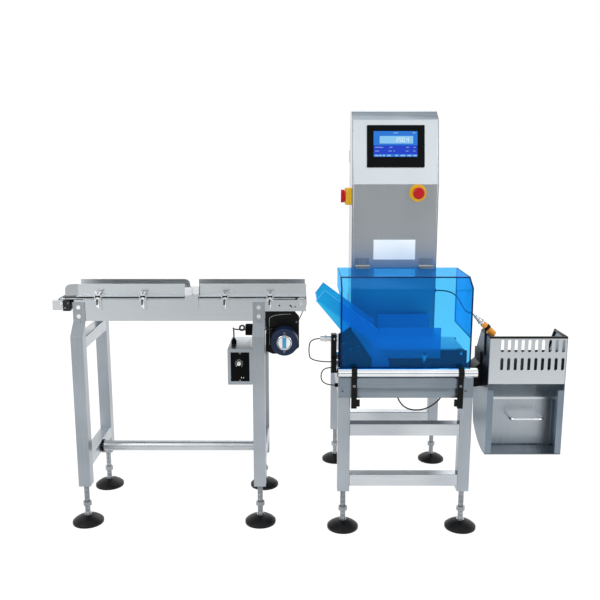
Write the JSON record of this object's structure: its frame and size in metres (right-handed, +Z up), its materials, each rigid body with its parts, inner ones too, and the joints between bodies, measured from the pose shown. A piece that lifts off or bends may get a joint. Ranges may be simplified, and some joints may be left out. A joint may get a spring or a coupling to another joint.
{
  "type": "checkweigher",
  "caption": "In-line checkweigher: infeed belt on a tube stand, chute, hooded weigh belt, control cabinet with touch panel, and reject bin.",
  "frame": {"origin": "bottom centre of the bounding box, on the floor", "axes": "+X along the product flow from infeed to reject bin, +Y from the operator's side to the back, +Z up"},
  "size_m": [1.676, 0.6898, 1.4],
  "materials": {
    "stainless": "satin",
    "steel": "machined",
    "black_rubber": "matte",
    "white_belt": "matte",
    "black_anodised": "satin",
    "motor_paint": "satin",
    "white_plastic": "satin",
    "black_plastic": "satin",
    "blue_acrylic": "clear",
    "yellow_plastic": "satin",
    "red_plastic": "satin",
    "pvc": "satin",
    "cell_alloy": "satin",
    "electronics": "matte"
  },
  "bodies": {
    "machine": {"stand_posts": "stainless", "stand_rails": "stainless", "foot_pads": "black_rubber", "foot_studs": "steel", "conveyor_side_plates": "stainless", "conveyor_bed": "stainless", "conveyor_belt": "black_rubber", "tail_tensioners": "black_anodised", "guide_brackets": "stainless", "photo_eyes": "white_plastic", "motor_bracket": "black_anodised", "gear_motor": "motor_paint", "timing_belt": "black_rubber", "speed_box": "stainless", "speed_panel": "black_plastic", "cable_fittings": "black_plastic", "frame_posts": "stainless", "frame_rails": "stainless", "weigh_housing": "stainless", "load_cell": "cell_alloy", "rail_clamps": "black_anodised", "rail_tubes": "stainless", "weigh_side_plates": "black_anodised", "weigh_bed": "stainless", "weigh_belt": "white_belt", "weigh_guides": "blue_acrylic", "chute_trough": "blue_acrylic", "support_brackets": "black_anodised", "hood_hinges": "steel", "barrel_sensors": "steel", "cabinet": "stainless", "cabinet_modules": "electronics", "touch_panel": "black_plastic", "switch_bases": "yellow_plastic", "bin_sides": "stainless", "bin_back": "stainless", "bin_front_panel": "stainless", "bin_edge_trim": "black_rubber", "motor_cable": "pvc", "sensor_cables": "pvc", "cell_cable": "pvc", "bin_sensor_cable": "pvc", "fasteners": "steel"},
    "drive_roller_body": {"drive_roller": "steel"},
    "tail_roller_body": {"tail_roller": "steel"},
    "motor_pulley_body": {"motor_pulley": "cell_alloy"},
    "weigh_drive_body": {"weigh_drive_roller": "steel"},
    "weigh_tail_body": {"weigh_tail_roller": "steel"},
    "front_infeed_body": {"front_infeed_guide": "stainless"},
    "front_outfeed_body": {"front_outfeed_guide": "stainless"},
    "rear_infeed_body": {"rear_infeed_guide": "stainless"},
    "rear_outfeed_body": {"rear_outfeed_guide": "stainless"},
    "speed_knob_body": {"speed_knob": "white_plastic"},
    "power_rocker_body": {"power_rocker": "red_plastic"},
    "estop_body": {"estop_button": "red_plastic"},
    "isolator_body": {"isolator_handle": "red_plastic"},
    "door_body": {"cabinet_door": "stainless"},
    "hood_body": {"hood": "blue_acrylic", "hood_leaves": "steel"},
    "gate_body": {"bin_gate": "stainless"}
  },
  "joints": [
    {"name": "drive_roller_spin", "type": "hinge", "parent": "machine", "child": "drive_roller_body", "pos_m": [-0.016, -0.106, 0.763], "axis": [0, 1, 0], "continuous": true},
    {"name": "tail_roller_spin", "type": "hinge", "parent": "machine", "child": "tail_roller_body", "pos_m": [-0.81, -0.106, 0.763], "axis": [0, 1, 0], "continuous": true},
    {"name": "motor_pulley_spin", "type": "hinge", "parent": "machine", "child": "motor_pulley_body", "pos_m": [-0.071, -0.2165, 0.644], "axis": [0, 1, 0], "continuous": true},
    {"name": "weigh_drive_spin", "type": "hinge", "parent": "machine", "child": "weigh_drive_body", "pos_m": [0.518, -0.15, 0.595], "axis": [0, 1, 0], "continuous": true},
    {"name": "weigh_tail_spin", "type": "hinge", "parent": "machine", "child": "weigh_tail_body", "pos_m": [0.139, -0.15, 0.595], "axis": [0, 1, 0], "continuous": true},
    {"name": "front_infeed_slide", "type": "slide", "parent": "machine", "child": "front_infeed_body", "axis": [0, -1, 0], "range_m": [0, 0.012]},
    {"name": "front_outfeed_slide", "type": "slide", "parent": "machine", "child": "front_outfeed_body", "axis": [0, -1, 0], "range_m": [0, 0.012]},
    {"name": "rear_infeed_slide", "type": "slide", "parent": "machine", "child": "rear_infeed_body", "axis": [0, 1, 0], "range_m": [0, 0.012]},
    {"name": "rear_outfeed_slide", "type": "slide", "parent": "machine", "child": "rear_outfeed_body", "axis": [0, 1, 0], "range_m": [0, 0.012]},
    {"name": "speed_knob_turn", "type": "hinge", "parent": "machine", "child": "speed_knob_body", "pos_m": [-0.221, -0.275, 0.571], "axis": [0, -1, 0], "range_deg": [-270, 0]},
    {"name": "power_rocker_tilt", "type": "hinge", "parent": "machine", "child": "power_rocker_body", "pos_m": [-0.2096, -0.273, 0.523], "axis": [0, 0, 1], "range_deg": [0, 14]},
    {"name": "estop_press", "type": "slide", "parent": "machine", "child": "estop_body", "axis": [0, 1, 0], "range_m": [0, 0.004]},
    {"name": "isolator_turn", "type": "hinge", "parent": "machine", "child": "isolator_body", "pos_m": [0.142, 0.0375, 1.102], "axis": [-1, 0, 0], "range_deg": [0, 90]},
    {"name": "door_swing", "type": "hinge", "parent": "machine", "child": "door_body", "pos_m": [0.165, 0.1345, 0.966], "axis": [0, 0, 1], "range_deg": [0, 110]},
    {"name": "hood_lift", "type": "hinge", "parent": "machine", "child": "hood_body", "pos_m": [0.3245, -0.0365, 0.86], "axis": [-1, 0, 0], "range_deg": [0, 85]},
    {"name": "gate_lift", "type": "slide", "parent": "machine", "child": "gate_body", "axis": [0, 0, 1], "range_m": [0, 0.04]}
  ],
  "couplings": [
    {"joint": "tail_roller_spin", "follows": "drive_roller_spin", "ratio": 1},
    {"joint": "motor_pulley_spin", "follows": "drive_roller_spin", "ratio": 1},
    {"joint": "weigh_tail_spin", "follows": "weigh_drive_spin", "ratio": 1}
  ]
}
